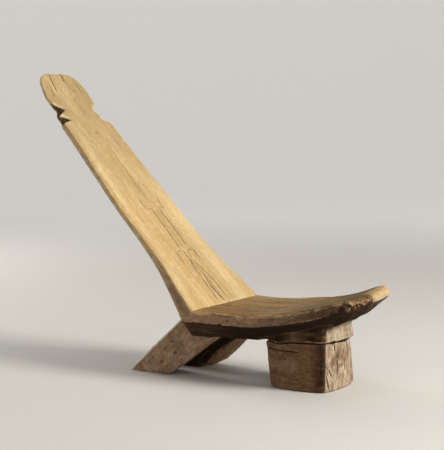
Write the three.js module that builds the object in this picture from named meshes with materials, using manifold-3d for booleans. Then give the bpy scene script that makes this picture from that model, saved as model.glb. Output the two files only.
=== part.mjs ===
// A low reclining chair hewn from hardwood: a thin back plank with a notched head, a boat-shaped
// seat, two slanting rear legs and a square front leg block. Blind dowels hold every joint.
// Millimetres, +X is the front of the chair, +Y is the sitter's left, +Z is up.

import * as THREE from 'three';
import { mergeVertices } from 'three/addons/utils/BufferGeometryUtils.js';
import Module from 'manifold-3d';

const wasm = await Module();
wasm.setup();

// Clearance left between pieces that touch, and a length larger than the chair, for cutting tools.
const gap = 0.3;
const far = 1000;

// Seat: its top meets the back at the crease, runs level, then curls up towards the front.
const creaseX = 58;
const seatTop = 145;
const seatRearX = 28;
const seatFrontX = 382;
const seatHalfWidthRear = 126;
const seatHalfWidthFront = 93;
const seatSideHeight = 24;
const seatDish = 4;
const dishFullX = 190;
const curl = { startX: 130, factor: 0.0036, power: 1.72 };
const twist = { startX: 80, fullX: 260, angle: THREE.MathUtils.degToRad(2.6) };
const noseX = 350;
const noseCornerInset = 14;
const bevelWidth = 47;

// Height of the flat underside, and how far the worn nose falls below the curl, both as [x, z].
const underside = [
  [seatRearX, 86], [130, 88], [177, 92], [224, 101.5], [319, 122.5], [350, 136], [370, 152], [382, 168],
];
const noseDrop = [[noseX, 0], [368, 1], [376, 5], [seatFrontX, 13]];

// The undercut of the seat's rear end passes through these points and their mirror images.
const rearUndercut = { high: [20, 127, 148], low: [40.5, 126, 117.5], inner: [26, 77, 86] };

// Back plank, measured up its slope: s = 0 at the crease.
const recline = THREE.MathUtils.degToRad(46.1);
const backBow = 6;
const backCrown = 5;
const rebateDepth = 7;
const arris = 2.5;

// The plank's edges as [s, right half width, left half width]: a hand-cut flare, then the head. A
// fourth number is the right half width at the rear face, where the notches are cut less deep.
const backFlare = [
  [-40, 137, 139], [0, 125, 128.5], [45, 114, 118], [105, 105, 102], [190, 99.5, 96.5],
  [280, 95.5, 96], [370, 88, 91], [440, 79.5, 88.5], [494, 77, 85.5],
];
const backHead = [
  [497, 75, 84, 76], [504, 45, 60, 71], [518, 68, 64, 73.5], [532, 42, 53, 65], [549, 66, 75.5, 67],
  [553, 68, 77], [573, 69.5, 79.5, 70.5], [596, 60, 79, 62.5], [613, 50, 74.5, 54.5],
  [625, 41, 67.5, 46], [632, 32, 58, 38], [636, 22, 40, 29],
];
const backLength = 636;

// How much wider the plank's rear face is than its front at the foot, and where that has faded.
const footFlare = { right: 7.5, left: 3, fadeS: 125 };

// Thickness of the plank's edges as [s, thickness].
const backEdge = [
  [0, 29], [45, 26.5], [80, 22.5], [115, 18], [150, 15], [190, 12.5], [300, 12.5], [430, 14], [490, 13.5],
  [560, 9], [636, 7],
];

// Rear legs: each leans back from the seat to its foot, and a horn runs up behind the seat.
const legOuterY = 77;
const legInnerY = 18;
const legRearFootX = -128;
const legHornTop = { x: 25.5, z: 143.2 };
const legHornFrontX = 52;
const legUnderSeatZ = 92;
const legArris = 3;

// Front faces of the legs as [z, x at the outer arris, x at the inner arris], from the floor up.
const rightLegFront = [
  [0, -34, -48], [2, -28, -43], [15, -8, -24], [57, 46, 32], [87, 84, 78], [legUnderSeatZ, 91, 86],
];
const leftLegFront = [
  [0, -11, -20], [12, 15, 4], [30, 37, 18], [52, 59, 46], [68, 75, 76], [87, 92, 98],
  [legUnderSeatZ, 97, 103],
];

// Front leg: a square block under a short stump that is one with the seat. Their joint is tilted.
const joint = { point: [193, -64, 90], slopeX: 0.045, slopeY: -0.045 };
const block = { frontX: 315, rearFootX: 201, rearTopX: 190, rightY: -64, leftFootY: 68, leftTopY: 47 };
const blockBelly = 2;
const blockTopZ = 110;
const blockWornEdge = 2.5;
const blockHeights = [0, 2.5, 20, 55, 80, blockTopZ];
const stump = { frontX: 316.5, rearX: 194, rightY: -64.5, leftY: 60, leftTopY: 51 };
const stumpHeights = [60, 101, 122, 136];
const sideBulge = 9;

// Blind dowels, each half in one piece and half in the other.
const dowelSides = 20;
const dowelChamfer = 1.2;
const backDowel = { radius: 5, length: 54, y: 70, depth: 13 };
const legDowel = { radius: 7, length: 60, x: 52, y: 47.5, z: 86, slope: THREE.MathUtils.degToRad(40) };
const frontDowel = { radius: 8, length: 50, y: -4, z: 91, xs: { rear: 226, front: 284 } };

// Colour and roughness of each member.
const finishes = {
  back: [0xd8b27a, 0.45],
  seat: [0x96764a, 0.45],
  leftLeg: [0x8a6d50, 0.7],
  rightLeg: [0x75604b, 0.7],
  block: [0x9b8060, 0.75],
  dowel: [0xb89462, 0.6],
};

// ---------------------------------------------------------------------------------------------
// Solids

// A closed skin over a row of rings, each an array of Vector3 with the same number of points.
function loft(rings) {
  const count = rings[0].length;
  const points = rings.flat();
  const index = [];
  for (let ring = 0; ring + 1 < rings.length; ring++) {
    for (let i = 0; i < count; i++) {
      const a = ring * count + i;
      const b = ring * count + (i + 1) % count;
      index.push(a, b, b + count, a, b + count, a + count);
    }
  }
  const first = points.push(middle(rings[0])) - 1;
  const last = points.push(middle(rings[rings.length - 1])) - 1;
  const lastStart = (rings.length - 1) * count;
  for (let i = 0; i < count; i++) {
    const next = (i + 1) % count;
    index.push(first, next, i);
    index.push(last, lastStart + i, lastStart + next);
  }
  const geometry = new THREE.BufferGeometry().setFromPoints(points);
  geometry.setIndex(index);
  return solidOf(geometry);
}

function middle(ring) {
  const sum = ring.reduce((total, point) => total.add(point), new THREE.Vector3());
  return sum.divideScalar(ring.length);
}

function solidOf(geometry) {
  const bare = geometry.clone();
  bare.deleteAttribute('normal');
  bare.deleteAttribute('uv');
  const merged = mergeVertices(bare);
  const vertProperties = merged.attributes.position.array;
  const triVerts = Uint32Array.from(merged.index.array);
  return new wasm.Manifold(new wasm.Mesh({ numProp: 3, vertProperties, triVerts }));
}

function geometryOf(solid) {
  const { vertProperties, triVerts } = solid.getMesh();
  const geometry = new THREE.BufferGeometry();
  geometry.setAttribute('position', new THREE.BufferAttribute(vertProperties, 3));
  geometry.setIndex(new THREE.BufferAttribute(triVerts, 1));
  geometry.computeVertexNormals();
  return geometry;
}

// Everything within reach on the side of a plane that its normal points to.
function halfSpace(point, normal) {
  const geometry = new THREE.BoxGeometry(far, far, far);
  geometry.translate(0, 0, far / 2);
  const turn = new THREE.Quaternion().setFromUnitVectors(new THREE.Vector3(0, 0, 1), normal);
  geometry.applyQuaternion(turn);
  geometry.translate(point.x, point.y, point.z);
  return solidOf(geometry);
}

// A value read off a row of [position, value, ...] entries, straight between them.
function readAlong(entries, position, column = 1) {
  const last = entries.length - 1;
  if (position <= entries[0][0]) return entries[0][column];
  if (position >= entries[last][0]) return entries[last][column];
  const next = entries.findIndex((entry) => entry[0] > position);
  const low = entries[next - 1];
  const high = entries[next];
  const share = (position - low[0]) / (high[0] - low[0]);
  return THREE.MathUtils.lerp(low[column], high[column], share);
}

// ---------------------------------------------------------------------------------------------
// Seat

// The seat's section at x, grown outwards by grow.
function seatRing(x, grow) {
  const along = (x - creaseX) / (seatFrontX - creaseX);
  const corner = noseCornerInset * Math.max(0, (x - noseX) / (seatFrontX - noseX)) ** 3;
  const half = THREE.MathUtils.lerp(seatHalfWidthRear, seatHalfWidthFront, along) - corner + grow;
  const curled = seatTop + curl.factor * Math.max(0, x - curl.startX) ** curl.power;
  const top = curled - readAlong(noseDrop, x) + grow;
  const bottom = readAlong(underside, x) - grow;
  const sideFoot = Math.max(top - seatSideHeight - grow, bottom + 1);
  const dish = seatDish * THREE.MathUtils.smoothstep(x, creaseX, dishFullX);
  const outline = [-1, -0.94, -0.7, -0.35, 0, 0.35, 0.7, 0.94, 1].map((t) => {
    const worn = Math.abs(t) === 1 ? arris : 0;
    return [t * half, top - dish * (1 - t * t) - worn];
  });
  const flat = half - bevelWidth;
  outline.push([half, sideFoot], [flat, bottom], [-flat, bottom], [-half, sideFoot]);
  const angle = twist.angle * THREE.MathUtils.smoothstep(x, twist.startX, twist.fullX);
  return outline.map(([y, z]) => {
    const turned = new THREE.Vector2(y, z - top).rotateAround(new THREE.Vector2(), angle);
    return new THREE.Vector3(x, turned.x, turned.y + top);
  });
}

// The cut that trims the seat's rear end and corner under the back's foot, on one side.
function rearCut(side) {
  const [high, low, inner] = [rearUndercut.high, rearUndercut.low, rearUndercut.inner]
    .map(([x, y, z]) => new THREE.Vector3(x, side * y, z));
  const plane = new THREE.Plane().setFromCoplanarPoints(high, low, inner);
  const outward = plane.normal.x < 0 ? plane.normal : plane.normal.negate();
  return halfSpace(low, outward);
}

function seatBody(grow) {
  const stations = [seatRearX - grow, creaseX, 82, 106, 130, 153, 177, 200, 224, 248, 271, 295, 319, 335];
  stations.push(noseX, 360, 368, 376, seatFrontX + grow);
  const rings = stations.map((x) => seatRing(x, grow)).reverse();
  return loft(rings).subtract(rearCut(1)).subtract(rearCut(-1));
}

function seatPlank() {
  const rebate = new THREE.BoxGeometry(far, far, far);
  rebate.translate(creaseX + gap - far / 2, 0, seatTop - rebateDepth - gap / 2 + far / 2);
  return drill(seatBody(0).subtract(solidOf(rebate)).add(stumpBody()));
}

// ---------------------------------------------------------------------------------------------
// Front leg

// A horizontal four-sided section at height z, its sides bulging by sideBulge at their middles.
function squareRing(z, rearX, frontX, rightY, leftY) {
  const corners = [[frontX, rightY], [frontX, leftY], [rearX, leftY], [rearX, rightY]];
  const ring = [];
  corners.forEach(([startX, startY], i) => {
    const [endX, endY] = corners[(i + 1) % corners.length];
    const outward = new THREE.Vector2(endY - startY, startX - endX).normalize();
    for (const t of [0.03, 0.25, 0.5, 0.75, 0.97]) {
      const push = sideBulge * 4 * t * (1 - t);
      const x = THREE.MathUtils.lerp(startX, endX, t) + push * outward.x;
      const y = THREE.MathUtils.lerp(startY, endY, t) + push * outward.y;
      ring.push(new THREE.Vector3(x, y, z));
    }
  });
  return ring;
}

// The part of space above (side 1) or below (side -1) the tilted joint, half a gap away from it.
function besideJoint(side) {
  const normal = new THREE.Vector3(-joint.slopeX, -joint.slopeY, 1).normalize();
  const point = new THREE.Vector3(...joint.point).addScaledVector(normal, side * gap / 2);
  return halfSpace(point, normal.multiplyScalar(side));
}

function stumpBody() {
  const lefts = [stump.leftY - 3, stump.leftY, stump.leftTopY, stump.leftTopY];
  const rings = stumpHeights.map((z, i) => squareRing(z, stump.rearX, stump.frontX, stump.rightY, lefts[i]));
  return loft(rings).intersect(besideJoint(1));
}

function frontLegBlock() {
  const rings = blockHeights.map((z) => {
    const rise = z / joint.point[2];
    const worn = z === 0 ? blockWornEdge : 0;
    const inset = worn - blockBelly * Math.sin(Math.PI * Math.min(rise, 1));
    const rearX = THREE.MathUtils.lerp(block.rearFootX, block.rearTopX, rise) + inset;
    const leftY = THREE.MathUtils.lerp(block.leftFootY, block.leftTopY, rise) - inset;
    return squareRing(z, rearX, block.frontX - worn, block.rightY + worn, leftY);
  });
  return drill(loft(rings).intersect(besideJoint(-1)));
}

// ---------------------------------------------------------------------------------------------
// Back plank

const upSlope = new THREE.Vector3(-Math.cos(recline), 0, Math.sin(recline));
const behind = new THREE.Vector3(-Math.sin(recline), 0, -Math.cos(recline));

// The place at distance s up the slope, y across and depth behind a flat front face.
function onBack(s, y, depth) {
  return new THREE.Vector3(creaseX, y, seatTop)
    .addScaledVector(upSlope, s)
    .addScaledVector(behind, depth);
}

// The plank's section at s, grown outwards by grow.
function backRing([s, right, left, rearRight = right], grow) {
  const bow = backBow * Math.sin(Math.PI * Math.max(0, s) / backLength);
  const edge = readAlong(backEdge, s);
  const flare = 1 - THREE.MathUtils.smoothstep(s, 0, footFlare.fadeS);
  const across = (t, half) => t * (half + grow);
  const front = bow - grow;
  const rear = bow + edge + grow;
  const outline = [-1, -0.96, 0, 0.96, 1].map((t) => {
    return [across(t, t < 0 ? right : left), front + (Math.abs(t) === 1 ? arris : 0)];
  });
  for (const t of [1, 0.92, 0.6, 0.25, -0.25, -0.6, -0.92, -1]) {
    const worn = Math.abs(t) === 1 ? arris : 0;
    const half = t < 0 ? rearRight + footFlare.right * flare : left + footFlare.left * flare;
    outline.push([across(t, half), rear - worn + backCrown * (1 - t * t)]);
  }
  return outline.map(([y, depth]) => onBack(s, y, depth));
}

// The plank, its foot cut level to sit in the seat's rebate and upright against the shoulder.
function backBody(grow) {
  const right = new THREE.SplineCurve(backFlare.map((entry) => new THREE.Vector2(entry[0], entry[1])));
  const left = new THREE.SplineCurve(backFlare.map((entry) => new THREE.Vector2(entry[0], entry[2])));
  const steps = 3 * (backFlare.length - 1);
  const flare = right.getPoints(steps).map((point, i) => [point.x, point.y, left.getPoint(i / steps).y]);
  const rings = flare.concat(backHead).map((entry) => backRing(entry, grow));
  const foot = new THREE.Vector3(creaseX + grow, 0, seatTop - rebateDepth + gap / 2 - grow);
  return loft(rings)
    .subtract(halfSpace(foot, new THREE.Vector3(0, 0, -1)))
    .subtract(halfSpace(foot, new THREE.Vector3(1, 0, 0)));
}

// ---------------------------------------------------------------------------------------------
// Rear legs

// One leg, cut to the seat's underside and rear end and to the back plank. side is 1 for the left.
function rearLeg(side, front) {
  const horn = [legUnderSeatZ + 3, legHornTop.z].map((z) => [z, legHornFrontX, legHornFrontX]);
  const rings = front.concat(horn).map(([z, outerX, innerX]) => {
    const rearX = THREE.MathUtils.lerp(legRearFootX, legHornTop.x, z / legHornTop.z);
    const outline = [
      [rearX, legOuterY - legArris],
      [rearX, legInnerY + legArris],
      [rearX + legArris, legInnerY],
      [innerX - legArris, legInnerY],
      [innerX, legInnerY + legArris],
      [outerX, legOuterY - legArris],
      [outerX - legArris, legOuterY],
      [rearX + legArris, legOuterY],
    ];
    const ring = outline.map(([x, y]) => new THREE.Vector3(x, side * y, z));
    return side > 0 ? ring : ring.reverse();
  });
  return drill(loft(rings).subtract(seatBody(gap)).subtract(backBody(gap)));
}

// ---------------------------------------------------------------------------------------------
// Dowels and their bores

// A chamfered pin centred on a point and lying along a direction.
function pin({ radius, length, centre, direction }, grow) {
  const end = length / 2 + grow;
  const side = radius + grow;
  const profile = [[0, -end], [side - dowelChamfer, -end], [side, dowelChamfer - end],
    [side, end - dowelChamfer], [side - dowelChamfer, end], [0, end]];
  const geometry = new THREE.LatheGeometry(profile.map(([r, y]) => new THREE.Vector2(r, y)), dowelSides);
  geometry.applyQuaternion(new THREE.Quaternion().setFromUnitVectors(new THREE.Vector3(0, 1, 0), direction));
  geometry.translate(centre.x, centre.y, centre.z);
  return solidOf(geometry);
}

// Every dowel: its node's name, size, middle and direction.
function allDowels() {
  const footS = (backDowel.depth * Math.cos(recline) - rebateDepth) / Math.sin(recline);
  const legSlope = new THREE.Vector3(Math.cos(legDowel.slope), 0, Math.sin(legDowel.slope));
  const list = [];
  for (const [name, side] of [['left', 1], ['right', -1]]) {
    const inFoot = onBack(footS, side * backDowel.y, backDowel.depth);
    list.push({ ...backDowel, name: `back_dowel_${name}`, centre: inFoot, direction: upSlope });
    const inLeg = new THREE.Vector3(legDowel.x, side * legDowel.y, legDowel.z);
    list.push({ ...legDowel, name: `rear_leg_dowel_${name}`, centre: inLeg, direction: legSlope });
  }
  for (const [name, x] of Object.entries(frontDowel.xs)) {
    const inBlock = new THREE.Vector3(x, frontDowel.y, frontDowel.z);
    const upright = new THREE.Vector3(0, 0, 1);
    list.push({ ...frontDowel, name: `front_leg_dowel_${name}`, centre: inBlock, direction: upright });
  }
  return list;
}

// Cuts every dowel's bore, one gap larger than the dowel, out of a piece.
function drill(solid) {
  return allDowels().reduce((bored, dowel) => bored.subtract(pin(dowel, gap)), solid);
}

// ---------------------------------------------------------------------------------------------
// The chair

function addPiece(group, name, solid, [color, roughness]) {
  const material = new THREE.MeshStandardMaterial({ color, roughness, metalness: 0 });
  const mesh = new THREE.Mesh(geometryOf(solid), material);
  mesh.name = name;
  group.add(mesh);
}

const chair = new THREE.Group();
addPiece(chair, 'back_plank', drill(backBody(0)), finishes.back);
addPiece(chair, 'seat_plank', seatPlank(), finishes.seat);
addPiece(chair, 'rear_leg_left', rearLeg(1, leftLegFront), finishes.leftLeg);
addPiece(chair, 'rear_leg_right', rearLeg(-1, rightLegFront), finishes.rightLeg);
addPiece(chair, 'front_leg_block', frontLegBlock(), finishes.block);
for (const dowel of allDowels()) {
  addPiece(chair, dowel.name, pin(dowel, 0), finishes.dowel);
}

// The origin is the middle of the chair's box, on the floor.
const box = new THREE.Box3().setFromObject(chair);
chair.position.set(-(box.min.x + box.max.x) / 2, -(box.min.y + box.max.y) / 2, -box.min.z);

export default chair;
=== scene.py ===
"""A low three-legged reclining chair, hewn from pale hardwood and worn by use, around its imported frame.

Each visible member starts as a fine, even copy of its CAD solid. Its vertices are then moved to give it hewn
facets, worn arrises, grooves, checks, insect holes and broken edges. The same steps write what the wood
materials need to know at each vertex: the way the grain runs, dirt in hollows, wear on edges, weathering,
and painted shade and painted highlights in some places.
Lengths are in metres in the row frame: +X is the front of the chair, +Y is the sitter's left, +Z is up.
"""

import math
from types import SimpleNamespace

import bmesh
import bpy
import numpy as np
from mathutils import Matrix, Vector
from mathutils.bvhtree import BVHTree


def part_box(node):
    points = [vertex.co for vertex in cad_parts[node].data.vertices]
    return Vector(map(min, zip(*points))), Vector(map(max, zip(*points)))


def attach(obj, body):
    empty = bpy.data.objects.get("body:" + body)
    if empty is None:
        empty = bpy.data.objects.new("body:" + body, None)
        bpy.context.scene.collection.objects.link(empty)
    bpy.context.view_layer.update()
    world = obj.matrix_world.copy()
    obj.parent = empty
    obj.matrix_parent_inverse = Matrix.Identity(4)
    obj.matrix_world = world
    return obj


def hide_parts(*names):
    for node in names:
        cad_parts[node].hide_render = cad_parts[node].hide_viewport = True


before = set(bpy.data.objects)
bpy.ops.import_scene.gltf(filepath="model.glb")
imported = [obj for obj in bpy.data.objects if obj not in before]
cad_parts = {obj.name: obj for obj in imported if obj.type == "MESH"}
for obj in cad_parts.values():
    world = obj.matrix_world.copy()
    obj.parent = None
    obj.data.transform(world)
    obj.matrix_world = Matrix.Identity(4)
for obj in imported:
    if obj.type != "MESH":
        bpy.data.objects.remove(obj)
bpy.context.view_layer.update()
scene = bpy.context.scene

MM = 0.001

# ---- Places on the chair, from the frame ----

BACK_LOW, BACK_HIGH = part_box("back_plank")
BLOCK_LOW, BLOCK_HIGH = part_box("front_leg_block")
NOSE_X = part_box("seat_plank")[1][0]

REBATE_DEPTH = 6.85 * MM
CREASE = np.array([BACK_HIGH[0], 0.0, BACK_LOW[2] + REBATE_DEPTH])
RECLINE = math.radians(46.1)
UP_SLOPE = np.array([-math.cos(RECLINE), 0.0, math.sin(RECLINE)])
BEHIND = np.array([-math.sin(RECLINE), 0.0, -math.cos(RECLINE)])
ALONG_X = np.array([1.0, 0.0, 0.0])
ALONG_Y = np.array([0.0, 1.0, 0.0])
ALONG_Z = np.array([0.0, 0.0, 1.0])
LEG_SLOPE = math.radians(43.3)
ALONG_LEG = np.array([math.cos(LEG_SLOPE), 0.0, math.sin(LEG_SLOPE)])
BACK_LENGTH = 636 * MM
BACK_BOW = 6 * MM

# The tilted joint between the seat's stump and the front block passes through this point.
JOINT_POINT = np.array([CREASE[0] + 135 * MM, -64 * MM, 90 * MM])
JOINT_TILT = 0.045
JOINT_NORMAL = np.array([-JOINT_TILT, JOINT_TILT, 1.0]) / math.sqrt(1 + 2 * JOINT_TILT ** 2)
BELOW_SEAT = 100 * MM

# How far from a narrow mark the mesh is cut finer, first once and then again.
FINE_REACHES = (3.2 * MM, 2.0 * MM)
# What lies this low after the wood is hewn is put back on the floor.
ON_FLOOR = 0.8 * MM


def at(forward, left, up):
    """A point from millimetres forward of the crease, left of the middle and above the floor."""
    return np.array([CREASE[0] + forward * MM, left * MM, up * MM])


def on_back(s, y):
    """A point on the back's front face from millimetres up the slope and left of the middle."""
    bow = BACK_BOW * math.sin(math.pi * s * MM / BACK_LENGTH)
    return CREASE + UP_SLOPE * s * MM + ALONG_Y * y * MM + BEHIND * bow


# ---- Noise, the same on every run ----

def hashed(cells, seed):
    """A number from 0 to 1 for each row of three whole numbers."""
    x, y, z = (cells[:, axis].astype(np.uint64) for axis in range(3))
    mask = np.uint64(0xFFFFFFFF)
    value = (x * np.uint64(0x8DA6B343) ^ y * np.uint64(0xD8163841) ^ z * np.uint64(0xCB1AB31F)) & mask
    value = (value ^ np.uint64(seed * 0x9E3779B1 & 0xFFFFFFFF)) & mask
    for factor in (0x2C1B3C6D, 0x297A2D39):
        value ^= value >> np.uint64(15)
        value = value * np.uint64(factor) & mask
    value ^= value >> np.uint64(15)
    return value.astype(np.float64) / 2 ** 32


def noise(points, size, seed=0):
    """Smooth noise from -1 to 1 whose features are about size millimetres long."""
    scaled = points / (np.asarray(size) * MM)
    cell = np.floor(scaled).astype(np.int64)
    t = scaled - cell
    t = t * t * t * (t * (6 * t - 15) + 10)
    total = np.zeros(len(points))
    for corner in np.ndindex(2, 2, 2):
        weight = np.where(corner, t, 1 - t).prod(axis=1)
        total += weight * hashed(cell + corner, seed)
    return 2 * total - 1


def fractal(points, size, seed=0, octaves=3):
    """Noise with finer noise on it, from about -1 to 1."""
    total = np.zeros(len(points))
    for octave in range(octaves):
        total += noise(points, np.asarray(size) / 2 ** octave, seed + 17 * octave) / 2 ** octave
    return total / 1.6


def scoops(points, size, seed=0):
    """A cell pattern: 0 at the middle of each hewn facet, rising to about 1 on the ridges between them."""
    scaled = points / (np.asarray(size) * MM)
    cell = np.floor(scaled).astype(np.int64)
    nearest = np.full(len(points), 9.0)
    for step in np.ndindex(3, 3, 3):
        neighbour = cell + step - 1
        centre = neighbour + np.stack([hashed(neighbour, seed + axis) for axis in range(3)], axis=1)
        nearest = np.minimum(nearest, ((scaled - centre) ** 2).sum(axis=1))
    return np.minimum(nearest / 0.6, 1.2)


def ease(low, high, values):
    """0 below low and 1 above high, smooth between them. With low above high it falls instead."""
    t = np.clip((values - low) / (high - low), 0, 1)
    return t * t * (3 - 2 * t)


def ease_mm(low, high, lengths):
    """The same between two limits in millimetres, for lengths in metres."""
    return ease(low * MM, high * MM, lengths)


# ---- Marks: grooves, checks, holes and stains, each along a path on the surface ----

def mark(points, width, depth=0.0, dirt=0.0, stain_and_shade=0.0, seed=0):
    """A line on the wood. width and depth are in millimetres, dirt and stain are from 0 to 1."""
    path = np.array([np.asarray(point, float) for point in points])
    lengths = {"width": width * MM, "depth": depth * MM}
    return {"path": path, **lengths, "dirt": dirt, "stain_and_shade": stain_and_shade, "seed": seed}


def hole(point, radius, depth=3.0):
    """A round hole, such as an insect leaves."""
    return mark([point], radius, depth, dirt=1.0)


def filled_in(path, step=3 * MM):
    """The path with more points along it."""
    if len(path) == 1:
        return path
    points = []
    for start, end in zip(path[:-1], path[1:]):
        count = max(1, int(np.linalg.norm(end - start) / step))
        points += [start + (end - start) * i / count for i in range(count)]
    return np.array(points + [path[-1]])


def path_distance(points, path):
    """Each point's distance to the path, and how far along it the nearest place is, from 0 to 1."""
    if len(path) == 1:
        return np.linalg.norm(points - path[0], axis=1), np.full(len(points), 0.5)
    nearest = np.full(len(points), np.inf)
    along = np.zeros(len(points))
    for i, (start, end) in enumerate(zip(path[:-1], path[1:])):
        side = end - start
        t = np.clip((points - start) @ side / (side @ side), 0, 1)
        distance = np.linalg.norm(points - start - t[:, None] * side, axis=1)
        closer = distance < nearest
        nearest[closer] = distance[closer]
        along[closer] = (i + t[closer]) / (len(path) - 1)
    return nearest, along


def near_path(points, path, reach):
    """Which points are in the path's box, widened by reach, and their path_distance."""
    low = path.min(axis=0) - reach
    high = path.max(axis=0) + reach
    chosen = np.flatnonzero(((points > low) & (points < high)).all(axis=1))
    return chosen, *path_distance(points[chosen], path)


# ---- A member's mesh, as arrays ----

def merged_mesh(node):
    """A copy of a CAD node's mesh with its split vertices joined again."""
    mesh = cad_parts[node].data.copy()
    mesh.materials.clear()
    bm = bmesh.new()
    bm.from_mesh(mesh)
    bmesh.ops.remove_doubles(bm, verts=bm.verts, dist=1e-6)
    bm.to_mesh(mesh)
    bm.free()
    return mesh


def surface_tree(meshes):
    """A search tree over the surfaces of some meshes."""
    bm = bmesh.new()
    for mesh in meshes:
        bm.from_mesh(mesh)
    tree = BVHTree.FromBMesh(bm)
    bm.free()
    return tree


def cad_tree(nodes):
    """A search tree over the CAD surfaces of some nodes."""
    return surface_tree([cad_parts[node].data for node in nodes])


def clearance(points, tree, reach):
    """Each point's distance to a surface, no more than reach."""
    distances = np.full(len(points), reach)
    for i, point in enumerate(points):
        found = tree.find_nearest(point, reach)
        if found[0] is not None:
            distances[i] = found[3]
    return distances


class Member:
    """One visible member: a fine mesh and the values at its vertices."""

    def __init__(self, node, voxel, marks):
        mesh = merged_mesh(node)
        self.node = node
        self.piece = bpy.data.objects.new(node + "_carved", mesh)
        scene.collection.objects.link(self.piece)
        remesh = self.piece.modifiers.new("even", "REMESH")
        remesh.mode = "VOXEL"
        remesh.voxel_size = voxel * MM
        evaluated = self.piece.evaluated_get(bpy.context.evaluated_depsgraph_get())
        fine = bpy.data.meshes.new_from_object(evaluated)
        self.piece.modifiers.clear()
        self.piece.data = fine
        bpy.data.meshes.remove(mesh)
        self.marks = marks
        for item in marks:
            item["path"] = filled_in(item["path"])
        self.snap_marks()
        self.refine()
        self.read()
        self.values = {"dirt_and_shade": np.zeros(self.count), "stain_and_shade": np.zeros(self.count)}

    def snap_marks(self):
        """Puts every mark's path on the surface."""
        tree = surface_tree([self.piece.data])
        for item in self.marks:
            item["path"] = np.array([tree.find_nearest(Vector(point))[0] for point in item["path"]])

    def refine(self):
        """Cuts the faces near narrow marks finer, twice."""
        narrow = [item for item in self.marks if item["depth"] > 0]
        for reach in FINE_REACHES:
            bm = bmesh.new()
            bm.from_mesh(self.piece.data)
            points = np.array([v.co for v in bm.verts])
            near = np.zeros(len(points), bool)
            for item in narrow:
                span = item["width"] + reach
                chosen, distance, _ = near_path(points, item["path"], span)
                near[chosen[distance < span]] = True
            faces = [f for f in bm.faces if all(near[v.index] for v in f.verts)]
            edges = sorted({e for f in faces for e in f.edges}, key=lambda edge: edge.index)
            bmesh.ops.subdivide_edges(bm, edges=edges, cuts=1, use_grid_fill=True)
            bm.to_mesh(self.piece.data)
            bm.free()

    def read(self):
        mesh = self.piece.data
        self.count = len(mesh.vertices)
        flat = np.empty(self.count * 3, np.float32)
        mesh.vertices.foreach_get("co", flat)
        self.co = flat.reshape(-1, 3).astype(float)
        pairs = np.empty(len(mesh.edges) * 2, np.int32)
        mesh.edges.foreach_get("vertices", pairs)
        self.edges = pairs.reshape(-1, 2)
        ends = self.edges.ravel()
        self.links = np.bincount(ends, minlength=self.count).astype(float)
        self.update()

    def update(self):
        """Writes the places to the mesh and reads the normals back."""
        mesh = self.piece.data
        mesh.vertices.foreach_set("co", self.co.astype(np.float32).ravel())
        mesh.update()
        flat = np.empty(self.count * 3, np.float32)
        mesh.vertex_normals.foreach_get("vector", flat)
        self.normals = flat.reshape(-1, 3).astype(float)

    def averaged(self, values, times):
        """values, each replaced by the mean of its neighbours' and itself, times over."""
        a, b = self.edges.T
        columns = values.reshape(self.count, -1).copy()
        for _ in range(times):
            for axis in range(columns.shape[1]):
                column = columns[:, axis]
                total = np.bincount(a, column[b], self.count) + np.bincount(b, column[a], self.count)
                columns[:, axis] = 0.5 * column + 0.5 * total / self.links
        return columns.reshape(values.shape)

    def soften(self, times, share=1.0):
        """Rounds the surface, where share is over 0."""
        share = np.broadcast_to(share, self.count)
        self.co += (self.averaged(self.co, times) - self.co) * share[:, None]
        self.update()

    def push(self, amount):
        """Moves each vertex out along its normal by amount."""
        self.co += self.normals * amount[:, None]
        self.update()

    def cut_marks(self):
        """Sinks the marks into the surface and notes their dirt and stain."""
        self.snap_marks()
        sink = np.zeros(self.count)
        for item in self.marks:
            chosen, distance, along = near_path(self.co, item["path"], 3 * item["width"])
            if len(item["path"]) == 1:
                fade = np.ones(len(chosen))
                profile = ease(1.25 * item["width"], 0.7 * item["width"], distance)
            else:
                ragged = noise(self.co[chosen], 5, item["seed"] + 5)
                fade = ease(0, 0.08, along) * ease(1, 0.9, along) * (0.8 + 0.35 * ragged)
                profile = np.exp(-((distance / item["width"]) ** 2))
            shape = np.clip(profile * fade, 0, 1)
            sink[chosen] = np.maximum(sink[chosen], item["depth"] * shape)
            for name, strength in (("dirt_and_shade", item["dirt"]), ("stain_and_shade", item["stain_and_shade"])):
                now = self.values[name]
                now[chosen] = np.maximum(now[chosen], strength * shape)
        self.push(-sink)

    def convexity(self, times, full):
        """How far the surface stands out of its own mean, from -1 in hollows to 1 on edges."""
        proud = ((self.co - self.averaged(self.co, times)) * self.normals).sum(axis=1)
        return np.clip(proud / (full * MM), -1, 1)

    def raise_to(self, name, *levels):
        """Brings a value up to the highest of these, where it is lower."""
        for level in levels:
            self.values[name] = np.maximum(self.values[name], level)

    def hollows(self, times=8, full=0.8):
        """1 in the sharpest hollows and 0 on flat wood and edges."""
        return np.clip(-self.convexity(times, full), 0, 1)

    def knock_edges(self, spots, edges, amount):
        """Chips the edges by amount where spots is high. edges holds the limits of what counts as an edge."""
        self.push(-amount * MM * spots * ease(*edges, self.convexity(6, 0.5)))

    def finish(self, along, depth_axis, material):
        """Writes the values to the mesh as attributes and puts the piece in place of its CAD node."""
        mesh = self.piece.data
        grain = np.stack([self.co @ along, self.co @ ALONG_Y, self.co @ depth_axis], axis=1)
        attribute = mesh.attributes.new("grain", "FLOAT_VECTOR", "POINT")
        attribute.data.foreach_set("vector", grain.astype(np.float32).ravel())
        for name, values in self.values.items():
            attribute = mesh.attributes.new(name, "FLOAT", "POINT")
            attribute.data.foreach_set("value", np.clip(values, 0, 1).astype(np.float32))
        mesh.materials.clear()
        mesh.materials.append(material)
        mesh.polygons.foreach_set("use_smooth", np.ones(len(mesh.polygons), bool))
        mesh.update()
        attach(self.piece, "root")
        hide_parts(self.node)


# ---- Shape steps that all members share ----

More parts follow.
